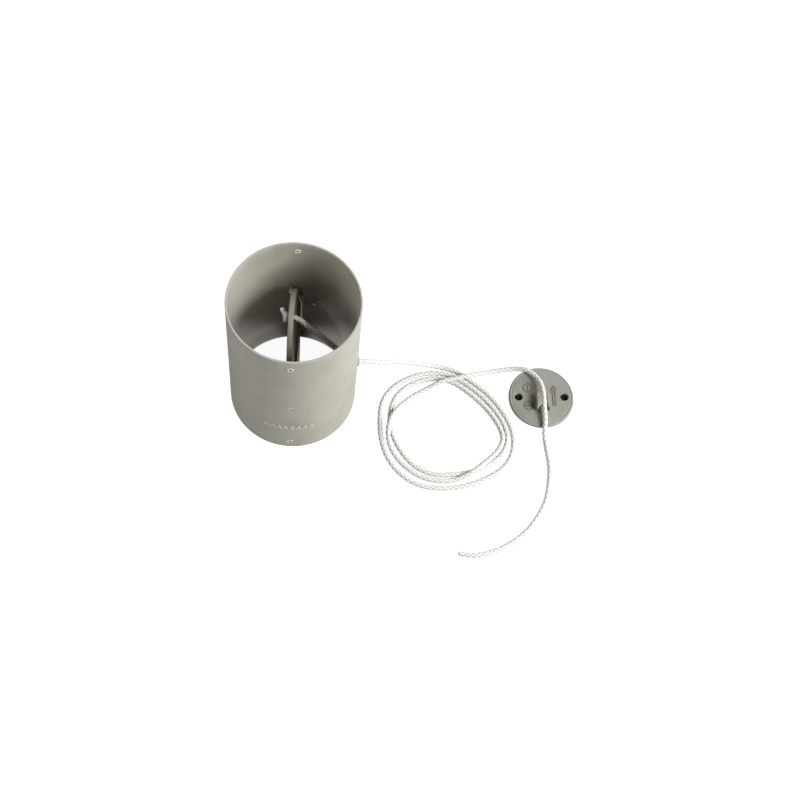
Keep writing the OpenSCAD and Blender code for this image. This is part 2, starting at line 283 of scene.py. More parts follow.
def turned(name, rings, sides, loop=False):
    """A shape turned on Z: a circle extruded from ring to ring, each ring (radius, height).

    In a loop the last ring meets the first, as in a tube. Otherwise both ends are closed flat.
    """
    only(None)
    path = rings + rings[:1] if loop else rings
    radius, height = path[0]
    bpy.ops.mesh.primitive_circle_add(
        vertices=sides, radius=radius, fill_type="NOTHING" if loop else "NGON")
    piece = bpy.context.object
    piece.name = name
    bpy.ops.object.mode_set(mode="EDIT")
    bpy.ops.mesh.select_all(action="SELECT")
    bpy.ops.transform.translate(value=(0, 0, height))
    for next_radius, next_height in path[1:]:
        bpy.ops.mesh.extrude_region_move(
            TRANSFORM_OT_translate={"value": (0, 0, next_height - height)})
        scale = next_radius / radius
        bpy.ops.transform.resize(value=(scale, scale, 1), center_override=(0, 0, next_height))
        radius, height = next_radius, next_height
    bpy.ops.mesh.select_all(action="SELECT")
    if loop:
        bpy.ops.mesh.remove_doubles(threshold=MERGE)
    bpy.ops.mesh.normals_make_consistent(inside=False)
    bpy.ops.object.mode_set(mode="OBJECT")
    return piece


def rounded(corners, steps=3):
    """Ring list from corners (radius, height, rounding): each corner with a rounding is an arc."""
    rings = []
    count = len(corners)
    for i, (r, z, rounding) in enumerate(corners):
        here = Vector((r, z))
        if not rounding:
            rings.append((r, z))
            continue
        before = (Vector(corners[i - 1][:2]) - here).normalized()
        after = (Vector(corners[(i + 1) % count][:2]) - here).normalized()
        start, end = here + before * rounding, here + after * rounding
        for k in range(steps + 1):
            t = k / steps
            point = (1 - t) ** 2 * start + 2 * t * (1 - t) * here + t ** 2 * end
            rings.append((point.x, point.y))
    return rings


def oblong(half_width, half_length):
    """The outline of a rectangle round the origin."""
    return [(-half_width, -half_length), (half_width, -half_length),
            (half_width, half_length), (-half_width, half_length)]


def outline_block(name, outline, base, height, bevel=0.0, steps=2):
    """A flat-topped block: a filled circle whose points are put on an outline in millimetres.

    It is extruded up from the height base.
    """
    only(None)
    bpy.ops.mesh.primitive_circle_add(vertices=len(outline), radius=MM, fill_type="NGON")
    piece = bpy.context.object
    piece.name = name
    turned_round = sum(
        a[0] * b[1] - b[0] * a[1] for a, b in zip(outline, outline[1:] + outline[:1])) < 0
    points = outline[::-1] if turned_round else outline
    for vertex, (x, y) in zip(piece.data.vertices, points):
        vertex.co = (x * MM, y * MM, base)
    bpy.ops.object.mode_set(mode="EDIT")
    bpy.ops.mesh.select_all(action="SELECT")
    bpy.ops.mesh.extrude_region_move(TRANSFORM_OT_translate={"value": (0, 0, height)})
    bpy.ops.mesh.select_all(action="SELECT")
    bpy.ops.mesh.normals_make_consistent(inside=False)
    bpy.ops.object.mode_set(mode="OBJECT")
    if bevel:
        edges_rounded(piece, bevel, steps)
    return piece


def rod(name, radius, low, high, sides=48, chamfer=0.0):
    """A round bar on Z with chamfered ends."""
    corners = [(radius - chamfer, low), (radius, low + chamfer), (radius, high - chamfer),
               (radius - chamfer, high)] if chamfer else [(radius, low), (radius, high)]
    return turned(name, corners, sides)


def stands(piece, place=(0, 0, 0), rotation=(0, 0, 0)):
    """Puts a piece modelled round the origin at its place, with the place in its mesh."""
    only(piece)
    piece.location = place
    piece.rotation_euler = rotation
    bpy.ops.object.transform_apply(location=True, rotation=True, scale=True)
    return piece


def sideways(turn=0.0):
    """The rotation that lays a piece's top to the front, or as far round Z as turn says."""
    return (math.pi / 2, 0, turn)


def edges_rounded(piece, width, steps):
    """Rounds a piece's sharp edges with a bevel."""
    only(piece)
    bpy.ops.object.modifier_add(type="BEVEL")
    bevel = piece.modifiers[-1]
    bevel.width = width
    bevel.segments = steps
    bevel.limit_method = "ANGLE"
    bevel.angle_limit = SHARP_EDGE
    bpy.ops.object.modifier_apply(modifier=bevel.name)
    return piece


def worked(piece, tool, operation="DIFFERENCE"):
    """Cuts a tool out of a piece, or joins it on, and throws the tool away."""
    only(piece)
    bpy.ops.object.modifier_add(type="BOOLEAN")
    change = piece.modifiers[-1]
    change.operation = operation
    change.solver = "EXACT"
    change.object = tool
    bpy.ops.object.modifier_apply(modifier=change.name)
    bpy.data.objects.remove(tool)
    return piece


def hole_tool(radius, depth, chamfer):
    """A cutter on Z for a hole whose rim is chamfered. It starts outside, at height 0."""
    reach = 2 * MM
    rings = [(radius + chamfer + reach, reach), (radius, -chamfer), (radius, -depth)]
    return turned("hole_tool", rings, 40)


def joined(name, pieces):
    """Joins finished solids of one kind into one piece."""
    only(pieces[0])
    for piece in pieces[1:]:
        piece.select_set(True)
    bpy.ops.object.join()
    piece = bpy.context.object
    piece.name = name
    return piece


def finished(piece, body, node, material, angle=32):
    """Smooths a piece, gives it its material, hides the node it stands for and gives that node the same material.

    body is what it rides on, or None to leave the piece unattached.
    """
    only(piece)
    bpy.ops.object.shade_smooth_by_angle(angle=angle * DEG)
    piece.data.materials.clear()
    piece.data.materials.append(material)
    if body:
        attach(piece, body)
    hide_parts(node)
    frame["nodes"][node].data.materials.clear()
    frame["nodes"][node].data.materials.append(material)
    return piece


# ---------------------------------------------------------------- braid


STRAND_CROWN = 0.62  # how much of a strand's height is its own roundness; the rest is the weave
BRAID_VALLEY = 0.83  # the distance of the crevices from the middle, in cord radii
BRAID_RELIEF = 0.20  # how far the strands stand out from the crevices, in cord radii
CAP_HEIGHT = 0.35  # how far a cut end bulges
CAP_SHOULDER = (0.72, 0.25)  # where its shoulder lies, out from the middle and along the cord


def smooth_route(points, step, soften):
    """Points every step metres along a smooth curve near the given points in millimetres.

    soften is the length over which its bends are evened out.
    """
    given = np.array(points, float) * MM
    padded = np.vstack([2 * given[0] - given[1], given, 2 * given[-1] - given[-2]])
    fine = []
    for i in range(len(given) - 1):
        p0, p1, p2, p3 = padded[i:i + 4]
        t = np.linspace(0, 1, 24, endpoint=False)[:, None]
        fine.append(0.5 * (2 * p1 + (p2 - p0) * t + (2 * p0 - 5 * p1 + 4 * p2 - p3) * t ** 2
                           + (3 * p1 - p0 - 3 * p2 + p3) * t ** 3))
    line = np.vstack(fine + [given[-1:]])
    line = evenly(line, step)
    reach = int(3 * soften / step)
    weights = np.exp(-0.5 * (np.arange(-reach, reach + 1) * step / soften) ** 2)
    weights /= weights.sum()
    ends_in = np.vstack([2 * line[0] - line[reach:0:-1], line,
                         2 * line[-1] - line[-2:-reach - 2:-1]])
    line = np.stack([np.convolve(ends_in[:, k], weights, "valid") for k in range(3)], 1)
    return evenly(line, step)


def evenly(line, step):
    """The same line with its points evenly spaced, about step apart."""
    run = np.concatenate([[0], np.cumsum(np.linalg.norm(np.diff(line, axis=0), axis=1))])
    count = max(2, int(round(run[-1] / step)) + 1)
    at = np.linspace(0, run[-1], count)
    return np.stack([np.interp(at, run, line[:, k]) for k in range(3)], 1)


def braided(name, line, radius, strands, pick, around=28):
    """A braided cord along a line of evenly spaced points, as one closed mesh.

    Two sets of strands wind opposite ways and pass over and under each other. The mesh keeps
    two attributes for its material: "crevice", 1 deep between strands, and "across", 0 to 1
    across the strand that lies on top.
    """
    step = np.linalg.norm(line[1] - line[0])
    ahead = np.gradient(line, axis=0)
    ahead /= np.linalg.norm(ahead, axis=1)[:, None]
    side = np.cross(ahead[0], (0, 0, 1) if abs(ahead[0][2]) < 0.9 else (0, 1, 0))
    sides = []
    for direction in ahead:
        side = side - direction * (side @ direction)
        side = side / np.linalg.norm(side)
        sides.append(side)
    sides = np.array(sides)
    tops = np.cross(ahead, sides)

    angle = np.arange(around) / around
    run = np.arange(len(line)) * step / pick
    left = strands * angle[None, :] + run[:, None]
    right = -strands * angle[None, :] + run[:, None]

    def strand(own, other):
        """Height and cross place of a strand set, given the phases of both sets."""
        number = np.floor(own)
        place = own - number
        over = np.cos(np.pi * (other - 0.5)) * np.where(number % 2 == 0, 1, -1)
        return STRAND_CROWN * (1 - (2 * place - 1) ** 2) + (1 - STRAND_CROWN) * over, place

    left_height, left_place = strand(left, right)
    right_height, right_place = strand(right, left + 1)
    on_left = left_height >= right_height
    height = np.where(on_left, left_height, right_height)
    place = np.where(on_left, left_place, 1 + right_place)
    low, high = np.percentile(height, 2), height.max()
    height = np.clip((height - low) / (high - low), 0, 1)
    reach = radius * (BRAID_VALLEY + BRAID_RELIEF * height ** 0.8)
    turn = 2 * np.pi * angle
    points = (line[:, None, :] + reach[:, :, None] * (
        np.cos(turn)[None, :, None] * sides[:, None, :]
        + np.sin(turn)[None, :, None] * tops[:, None, :]))
    vertices = points.reshape(-1, 3)

    count = len(line)
    ring = np.arange(around)
    here = (np.arange(count - 1)[:, None] * around + ring[None, :])
    beside = (np.arange(count - 1)[:, None] * around + (ring[None, :] + 1) % around)
    faces = np.stack([here, beside, beside + around, here + around], 2).reshape(-1, 4).tolist()
    crevice = (1 - height).reshape(-1)
    across = place.reshape(-1)
    ends = []
    for end, sign, start in ((0, -1, 0), (count - 1, 1, (count - 1) * around)):
        rim = vertices[start:start + around]
        tip = line[end] + sign * ahead[end] * radius * CAP_HEIGHT
        shoulder = (line[end] + (rim - line[end]) * CAP_SHOULDER[0]
                    + sign * ahead[end] * radius * CAP_SHOULDER[1])
        base = len(vertices)
        vertices = np.vstack([vertices, shoulder, tip])
        crevice = np.concatenate([crevice, np.full(around + 1, 0.35)])
        across = np.concatenate([across, np.full(around + 1, 0.5)])
        for k in range(around):
            a, b = start + k, start + (k + 1) % around
            c, d = base + (k + 1) % around, base + k
            ends += [(b, a, d, c), (c, d, base + around)] if sign < 0 else [
                (a, b, c, d), (d, c, base + around)]
    faces += ends
    mesh = bpy.data.meshes.new(name)
    mesh.from_pydata(vertices.tolist(), [], faces)
    mesh.update()
    for title, values in (("crevice", crevice), ("across", across)):
        attribute = mesh.attributes.new(title, "FLOAT", "POINT")
        attribute.data.foreach_set("value", np.ascontiguousarray(values, dtype=np.float32))
    piece = bpy.data.objects.new(name, mesh)
    bpy.context.scene.collection.objects.link(piece)
    only(piece)
    bpy.ops.object.mode_set(mode="EDIT")
    bpy.ops.mesh.select_all(action="SELECT")
    bpy.ops.mesh.normals_make_consistent(inside=False)
    bpy.ops.object.mode_set(mode="OBJECT")
    return piece


# ---------------------------------------------------------------- materials


class Wiring:
    """Adds and links the nodes of one material."""

    def __init__(self, name):
        self.material = bpy.data.materials.new(name)
        self.material.use_nodes = True
        self.tree = self.material.node_tree
        self.shader = next(n for n in self.tree.nodes if n.type == "BSDF_PRINCIPLED")

    @classmethod
    def of_world(cls, name):
        """The same for a world, whose shader is its background."""
        made = cls.__new__(cls)
        made.material = bpy.data.worlds.new(name)
        made.material.use_nodes = True
        made.tree = made.material.node_tree
        made.shader = next(n for n in made.tree.nodes if n.type == "BACKGROUND")
        return made

    def node(self, kind, settings=None, **sockets):
        """A node with its settings, and its inputs given as values or as other nodes' outputs."""
        node = self.tree.nodes.new(kind)
        for key, value in (settings or {}).items():
            setattr(node, key, value)
        for key, value in sockets.items():
            self.feed(node.inputs[key.replace("_", " ")], value)
        return node

    def feed(self, socket, value):
        """Links an output to an input, or sets the input's value."""
        if isinstance(value, bpy.types.NodeSocket):
            self.tree.links.new(value, socket)
        else:
            socket.default_value = value

    def object_place(self, scale=(1, 1, 1)):
        """The place on the piece, in metres, stretched by scale."""
        coordinates = self.node("ShaderNodeTexCoord")
        mapping = self.node("ShaderNodeMapping", Vector=coordinates.outputs["Object"], Scale=scale)
        return mapping.outputs["Vector"]

    def distance(self, axes):
        """How far the place is from the origin, along the axes that are 1."""
        return self.node("ShaderNodeVectorMath", {"operation": "LENGTH"},
                         Vector=self.object_place(axes)).outputs["Value"]

    def along(self, axis):
        """The place on the piece along one axis."""
        return self.node("ShaderNodeSeparateXYZ", Vector=self.object_place()).outputs[axis]

    def noise(self, place, scale, detail=2.0, rough=0.5):
        """The value of a noise texture."""
        return self.node("ShaderNodeTexNoise", Vector=place, Scale=scale, Detail=detail,
                         Roughness=rough).outputs["Fac"]

    def ranged(self, value, low, high, out_low=0.0, out_high=1.0):
        """A value mapped from one range to another."""
        node = self.node("ShaderNodeMapRange", Value=value)
        for socket, number in (("From Min", low), ("From Max", high), ("To Min", out_low),
                               ("To Max", out_high)):
            node.inputs[socket].default_value = number
        return node.outputs["Result"]

    def maths(self, operation, first, second=0.0):
        """A math node's result."""
        node = self.node("ShaderNodeMath", {"operation": operation})
        self.feed(node.inputs[0], first)
        self.feed(node.inputs[1], second)
        return node.outputs["Value"]

    def blend(self, share, first, second):
        """Two colours mixed by a share."""
        node = self.node("ShaderNodeMix", {"data_type": "RGBA"})
        self.feed(node.inputs["Factor"], share)
        for socket, colour in ((node.inputs[6], first), (node.inputs[7], second)):
            if not isinstance(colour, bpy.types.NodeSocket):
                colour = (*colour, 1)
            self.feed(socket, colour)
        return node.outputs[2]

    def bump(self, height, strength, distance):
        """A bump from a height."""
        return self.node("ShaderNodeBump", Height=height, Strength=strength,
                         Distance=distance).outputs["Normal"]

    def constants(self, **sockets):
        """Values set on the shader itself."""
        for key, value in sockets.items():
            self.shader.inputs[key.replace("_", " ")].default_value = value

    def show(self, **sockets):
        """Outputs linked to the shader."""
        for key, value in sockets.items():
            self.feed(self.shader.inputs[key.replace("_", " ")], value)


def toned(colour, factor):
    """A colour made lighter or darker, and no brighter than white."""
    return tuple(min(1, factor * c) for c in colour)


def moulded_plastic(name, pale, deep, roughness=0.5, grain=0.06, drawn=False, rims=None,
                    raised=None, speck=0.12):
    """Matt moulded plastic: cloudy tone, fine grain, and on a drawn tube faint lines along it.

    rims is (low, high, band) for a painted highlight along the edge at two heights, with a
    painted highlight on the burrs on the inner wall near the upper one. raised gives raised
    marks painted light in another tone, above 1 a painted highlight and below 1 painted shade:
    (direction, low, high, tone), where direction is the height "up" or the distance "out" from the Z axis, and the
    tone grows from low to high.
    """
    w = Wiring(name)
    place = w.object_place()
    clouds = w.noise(place, 38, 3, 0.55)
    height = w.noise(place, 1700, 2)
    colour = w.blend(w.ranged(clouds, 0.34, 0.66), pale, deep)
    speckle = w.noise(place, 900, 1)
    colour = w.blend(w.ranged(speckle, 0.3, 0.7, 0.0, speck), colour, toned(deep, 0.7))
    if drawn:
        lines = w.noise(w.object_place((620, 620, 7)), 1, 2)
        colour = w.blend(w.ranged(lines, 0.35, 0.65, 0.0, 0.16), colour, toned(pale, 1.12))
        height = w.maths("ADD", height, w.maths("MULTIPLY", lines, 0.8))
    if rims:
        rise = w.along("Z")
        low, high, band = rims
        lower = w.ranged(rise, low, low + band, 1, 0)
        upper = w.ranged(rise, high - band, high, 0, 1)
        # Painted highlight: a lighter band round both rims, for the light that the rim edges catch.
        edge = w.maths("MULTIPLY", w.maths("ADD", lower, upper),
                       w.ranged(clouds, 0.3, 0.6, 0.45, 0.8))
        colour = w.blend(edge, colour, toned(pale, 1.15))
        # the burrs on the inner wall stand in from the socket at both ends; only those near the upper end get a
        # painted highlight where they catch the light
        inside = w.ranged(w.distance((1, 1, 0)), SOCKET_R - 0.35 * MM, SOCKET_R - 0.1 * MM, 1, 0)
        near_end = w.ranged(rise, high - BURR_REACH - 0.1 * MM, high - BURR_REACH)
        colour = w.blend(w.maths("MULTIPLY", inside, near_end), colour, toned(pale, PAINTED_HIGHLIGHT_TONE))
    # Painted light on raised marks: a tone above 1 paints a highlight on them, one below 1 paints shade on them
    # and at the feet of taller parts.
    if raised:
        way, low, high, tone = raised
        reach = w.distance((0, 0, 1) if way == "up" else (1, 1, 0))
        top = w.ranged(reach, low, high)
        if way == "up":
            top = w.maths("MULTIPLY", top, w.ranged(reach, high + 0.1 * MM, high + 0.2 * MM, 1, 0))
        colour = w.blend(top, colour, toned(pale, tone))
    w.show(
        Base_Color=colour,
        Roughness=w.ranged(speckle, 0.3, 0.7, roughness - 0.05, roughness + 0.08),
        Normal=w.bump(height, grain, 0.3 * MM),
    )
    w.constants(IOR=1.46, Specular_IOR_Level=0.4)
    return w.material


def braided_yarn(name, white, shade):
    """White polyester yarn: fine threads along each strand, and grey painted shade in the crevices between the
    strands and faintly between the threads.
    """
    w = Wiring(name)
    crevice = w.node("ShaderNodeAttribute", {"attribute_name": "crevice"}).outputs["Fac"]
    across = w.node("ShaderNodeAttribute", {"attribute_name": "across"}).outputs["Fac"]
    threads_across = 5
    threads = w.maths("SINE", w.maths("MULTIPLY", across, 2 * math.pi * threads_across))
    place = w.object_place()
    fuzz = w.noise(place, 2600, 2)
    soil = w.noise(place, 60, 2)
    # Painted shade: the crevices between strands, and faintly the gaps between threads, are painted towards the
    # shade colour.
    deepness = w.ranged(crevice, 0.30, 0.95, 0.0, 1.0)
    colour = w.blend(deepness, white, shade)
    fine = w.maths("ADD", w.ranged(threads, -1, 1, 0.0, 0.10), w.ranged(fuzz, 0.3, 0.7, 0, 0.08))
    colour = w.blend(fine, colour, shade)
    colour = w.blend(w.ranged(soil, 0.45, 0.75, 0.0, 0.10), colour, (0.72, 0.70, 0.62))
    height = w.maths("ADD", w.maths("MULTIPLY", threads, 0.35), fuzz)
    w.show(Base_Color=colour, Roughness=w.ranged(fuzz, 0.3, 0.7, 0.62, 0.82),
           Normal=w.bump(height, 0.35, 0.12 * MM))
    w.constants(Sheen_Weight=0.25, Sheen_Roughness=0.4, Specular_IOR_Level=0.35)
    return w.material


def plated_metal(name, tone, roughness, turned_marks=True):
    """Zinc-plated or drawn steel: fine marks round it and a mottled sheen."""
    w = Wiring(name)
    place = w.object_place()
    mottle = w.noise(place, 260, 3)
    marks = w.noise(w.object_place((500, 5200, 500) if turned_marks else (2600, 2600, 2600)), 1, 2)
    colour = w.blend(w.ranged(mottle, 0.35, 0.65), tone, toned(tone, 0.74))
    w.show(Base_Color=colour,
           Roughness=w.ranged(mottle, 0.3, 0.7, roughness - 0.06, roughness + 0.1),
           Normal=w.bump(marks, 0.1, 0.1 * MM))
    w.constants(Metallic=1.0)
    return w.material


def closed_cell_foam(name):
    """Black foam with small closed cells."""
    w = Wiring(name)
    place = w.object_place()
    cells = w.node("ShaderNodeTexVoronoi", Vector=place, Scale=1900.0).outputs["Distance"]
    cloud = w.noise(place, 90, 2)
    colour = w.blend(w.ranged(cells, 0.1, 0.6), (0.004, 0.004, 0.004), (0.012, 0.012, 0.011))
    colour = w.blend(w.ranged(cloud, 0.4, 0.7, 0, 0.5), colour, (0.008, 0.008, 0.008))
    w.show(Base_Color=colour, Roughness=w.ranged(cells, 0.1, 0.6, 0.95, 0.8),
           Normal=w.bump(cells, 0.6, 0.15 * MM))
    w.constants(Specular_IOR_Level=0.2)
    return w.material


def table_white(name, tone, glow, painted_shadow_width=0):
    """A matt table top that gives off some light of its own. Given a width, a painted shadow of the flap dims the
    glow near the Y axis and warms it.
    """
    w = Wiring(name)
    cloud = w.noise(w.object_place(), 3, 2)
    colour = w.blend(w.ranged(cloud, 0.3, 0.7), (tone, tone, tone), (0.98 * tone,) * 3)
    w.show(Base_Color=colour, Roughness=w.ranged(cloud, 0, 1, 0.8, 0.9))
    w.constants(Emission_Color=(1, 1, 1, 1), Emission_Strength=glow, Specular_IOR_Level=0.1)
    # Painted shadow of the flap: the glow fades out near the Y axis, under the flap.
    if painted_shadow_width:
        away = w.ranged(w.maths("ABSOLUTE", w.along("X")), 0.35 * painted_shadow_width, painted_shadow_width)
        w.show(Emission_Strength=w.maths("MULTIPLY", away, glow))
        w.constants(Emission_Color=(1, 0.93, 0.86, 1))
    return w.material


MADE = {}


def material(name):
    """One of the object's materials, made when it is first asked for."""
    scene = bpy.context.scene
    duct, flap, cord, plate = (
        scene.damper_duct, scene.damper_flap, scene.damper_cord, scene.damper_plate)
    makers = {
        # The tube gets a painted highlight on its rims, its upper inner burrs, its raised marks and its outer
        # burrs.
        "tube_grey": lambda: moulded_plastic(
            "tube_grey", duct.pale, duct.deep, 0.33, 0.02, True, (0, TUBE_LEN, 0.7 * MM),
            ("out", TUBE_R + 0.22 * MM, TUBE_R + 0.55 * MM, PAINTED_HIGHLIGHT_TONE)),
        "fitting_grey": lambda: moulded_plastic("fitting_grey", duct.pale, duct.deep, 0.45),
        "flap_grey": lambda: moulded_plastic("flap_grey", flap.pale, flap.deep, 0.5, 0.07),
        # The plate gets painted shade on its raised signs and round the feet of its jaws.
        "plate_grey": lambda: moulded_plastic(
            "plate_grey", plate.pale, plate.deep, 0.42, 0.25,
            raised=("up", PLATE_TOP + 0.1 * MM, PLATE_TOP + 0.35 * MM, 0.5), speck=0.35),
        "cord_white": lambda: braided_yarn("cord_white", cord.white, cord.shade),
        "zinc": lambda: plated_metal("zinc", (0.74, 0.74, 0.73), 0.42),
        "spring_wire": lambda: plated_metal("spring_wire", (0.36, 0.36, 0.36), 0.35, False),
        "black_foam": lambda: closed_cell_foam("black_foam"),
    }
    if name not in MADE:
        MADE[name] = makers[name]()
    return MADE[name]


# ---------------------------------------------------------------- operators


class DAMPER_OT_camera(bpy.types.Operator):
    """Places the camera"""

    bl_idname = "damper.camera"
    bl_label = "Place the camera"

    def execute(self, context):
        studio = context.scene.damper_studio
        bpy.ops.object.select_all(action="DESELECT")
        bpy.ops.object.camera_add()
        camera = context.object
        camera.name = "studio_camera"
        a, e, r = studio.azimuth, studio.elevation, studio.roll
        back = Vector((math.sin(a) * math.cos(e), -math.cos(a) * math.cos(e), math.sin(e)))
        level = Vector((math.cos(a), math.sin(a), 0))
        upright = back.cross(level)
        right = level * math.cos(r) + upright * math.sin(r)
        up = upright * math.cos(r) - level * math.sin(r)
        turn = Matrix((right, up, back)).transposed().to_4x4()
        camera.matrix_world = Matrix.Translation(
            Vector(studio.aim) + back * studio.distance) @ turn
        camera.data.lens = studio.lens
        camera.data.sensor_width = 36
        context.scene.camera = camera
        return {"FINISHED"}


class DAMPER_OT_pull_cord(bpy.types.Operator):
    """Braids the free cord, from the outlet over the floor and the plate to its cut end"""

    bl_idname = "damper.pull_cord"
    bl_label = "Braid the pull cord"

    def execute(self, context):
        cord = context.scene.damper_cord
        line = smooth_route(CORD_ROUTE, 0.55 * MM, 3.5 * MM)
        line[:, 2] = np.maximum(line[:, 2], 1.03 * cord.radius)
        piece = braided("pull_cord_braid", line, cord.radius, cord.strands, cord.pick)
        finished(piece, "root", "pull_cord", material("cord_white"), 80)
        return {"FINISHED"}


class DAMPER_OT_inner_cord(bpy.types.Operator):
    """Braids the cord between the flap and the outlet, which shortens as the flap closes"""

    bl_idname = "damper.inner_cord"
    bl_label = "Braid the inner cord"

    def execute(self, context):
        cord = context.scene.damper_cord
        line = smooth_route(INNER_ROUTE, 0.5 * MM, 2 * MM)
        piece = braided("inner_cord_braid", line, cord.radius, cord.strands, cord.pick)
        finished(piece, "root", "inner_cord", material("cord_white"), 80)
        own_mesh(piece)
        return {"FINISHED"}


class DAMPER_OT_knot(bpy.types.Operator):
    """Ties the knot that holds the cord behind the flap"""

    bl_idname = "damper.knot"
    bl_label = "Tie the knot"

    def execute(self, context):
        cord, flap = context.scene.damper_cord, context.scene.damper_flap
        face = -flap.thickness / MM / 2
        wrap = [
            (face - 2.2 - 0.75 * t, 2.5 * math.cos(2 * math.pi * (t - 1.22)),
             2.5 * math.sin(2 * math.pi * (t - 1.22)))
            for t in np.linspace(0, 1.15, 11)
        ]
        route = [(2.5, 0, 0), (0, 0, 0), (face - 0.6, 0.3, -0.2)] + wrap + [
            (face - 4.2, 3.6, 0.8), (face - 5.0, 5.0, 1.5), (face - 5.7, 6.2, 2.0)]
        line = smooth_route(route, 0.4 * MM, 0.7 * MM)
        piece = braided("cord_knot_tied", line, cord.radius * 0.86, cord.strands,
                        cord.pick * 0.8, 24)
        place = Matrix.Rotation(-flap.lean, 3, "Y") @ CORD_HOLE
        stands(piece, place + Vector((0, 0, PIVOT_Z)), (0, -flap.lean, 0))
        finished(piece, "flap", "cord_knot", material("cord_white"), 80)
        return {"FINISHED"}


class DAMPER_OT_tube(bpy.types.Operator):
    """Makes the duct tube, with its sockets, holes and airflow mark"""

    bl_idname = "damper.tube"
    bl_label = "Mould the tube"

    def execute(self, context):
        duct = context.scene.damper_duct
        bore = SOCKET_R - duct.wall_step
        edge = duct.rim_round
        bend = 1.8 * MM
        taper_start = SOCKET_DEPTH - 4 * MM
        taper_end = taper_start + duct.socket_taper
        hole_rows = (duct.screw_hole_inset, TUBE_LEN - duct.screw_hole_inset)
        # rings beside each row of holes and marks, so that no long face crosses one
        bands = sorted(
            [z + s * 3.2 * MM for z in hole_rows for s in (-1, 1)]
            + [OUTLET.z + s * 6.5 * MM for s in (-1, 1)]
            + [PIVOT_Z + 5 * MM, 29 * MM, 42 * MM])
        outside = [(TUBE_R, z, 0) for z in bands]
        inside = [(SOCKET_R if z < SOCKET_DEPTH or z > TUBE_LEN - SOCKET_DEPTH else bore, z, 0)
                  for z in reversed(bands)]
        low_inside = [p for p in inside if p[1] < SOCKET_DEPTH]
        high_inside = [p for p in inside if p[1] > TUBE_LEN - SOCKET_DEPTH]
        middle_inside = [p for p in inside if taper_end < p[1] < TUBE_LEN - taper_end]
        corners = (
            [(TUBE_R, 0, edge)] + outside + [(TUBE_R, TUBE_LEN, edge), (SOCKET_R, TUBE_LEN, edge)]
            + high_inside
            + [(SOCKET_R, TUBE_LEN - taper_start, bend), (bore, TUBE_LEN - taper_end, bend)]
            + middle_inside
            + [(bore, taper_end, bend), (SOCKET_R, taper_start, bend)]
            + low_inside + [(SOCKET_R, 0, edge)])
        rings = rounded(corners)
        piece = turned("tube_shell", rings, 240, loop=True)
        burrs = []
        hole_r = duct.screw_hole_r
        burr = [(0.02, -0.3), (1.2, -0.3), (1.2, 0.1), (0.7, 0.45), (0.25, 0.55), (0.02, 0.35)]
        for z in hole_rows:
            for turn in (0, math.pi):
                tool = stands(hole_tool(hole_r, 5 * MM, 0.2 * MM), (0, 0, TUBE_R))
                worked(piece, stands(tool, (0, 0, z), sideways(turn)))
                for face, way in ((TUBE_R, 1), (SOCKET_R, -1)):
                    rings = [(hole_r + r * MM, face + way * rise * MM) for r, rise in burr]
                    ring = turned("burr", rings, 40, loop=True)
                    burrs.append(stands(ring, (0, 0, z), sideways(turn)))
        for turn in (0, math.pi):
            tool = stands(hole_tool(BUSH_R, 4 * MM, 0.15 * MM), (0, 0, TUBE_R))
            worked(piece, stands(tool, (0, 0, PIVOT_Z), sideways(turn)))
        tool = stands(hole_tool(OUTLET_R, 4 * MM, 0.2 * MM), (0, 0, TUBE_R))
        worked(piece, stands(tool, (0, 0, OUTLET.z), (0, math.pi / 2, 0)))
        marks = []
        count, spacing, sunk, rise = 8, 5.7, 0.5 * MM, 0.35 * MM
        for i in range(count):
            chevron = outline_block(
                "chevron", [(-2, -3.8), (0, 0.4), (2, -3.8), (2, -0.6), (0, 3.8), (-2, -0.6)],
                TUBE_R - sunk, sunk + rise, 0.12 * MM)
            stands(chevron, (0, 0, 0), sideways())
            turn = ((i - (count - 1) / 2) * spacing - 1) * DEG
            marks.append(stands(chevron, (0, 0, 35.5 * MM), (0, 0, turn)))
        for mark in marks:
            worked(piece, mark, "UNION")
        finished(joined("tube_shell", [piece] + burrs), "root", "duct_tube",
                 material("tube_grey"))
        return {"FINISHED"}


class DAMPER_OT_bushes(bpy.types.Operator):
    """Makes the two flanged bushes that carry the axle"""

    bl_idname = "damper.bushes"
    bl_label = "Turn the bushes"

    def execute(self, context):
        bore = AXLE_R + 0.05 * MM
        flange_r = 5.5 * MM
        flange_end = BUSH_START + 0.9 * MM
        for name, node, turn in (
            ("front_bush_ring", "front_bush", 0),
            ("rear_bush_ring", "rear_bush", math.pi),
        ):
            rings = rounded([
                (bore, BUSH_START, 0.2 * MM), (flange_r, BUSH_START, 0.25 * MM),
                (flange_r, flange_end, 0.15 * MM), (BUSH_R, flange_end, 0),
                (BUSH_R, BUSH_END, 0.3 * MM), (bore, BUSH_END, 0.15 * MM)])
            piece = turned(name, rings, 64, loop=True)
            stands(piece, (0, 0, PIVOT_Z), sideways(turn))
            finished(piece, "root", node, material("fitting_grey"))
        return {"FINISHED"}


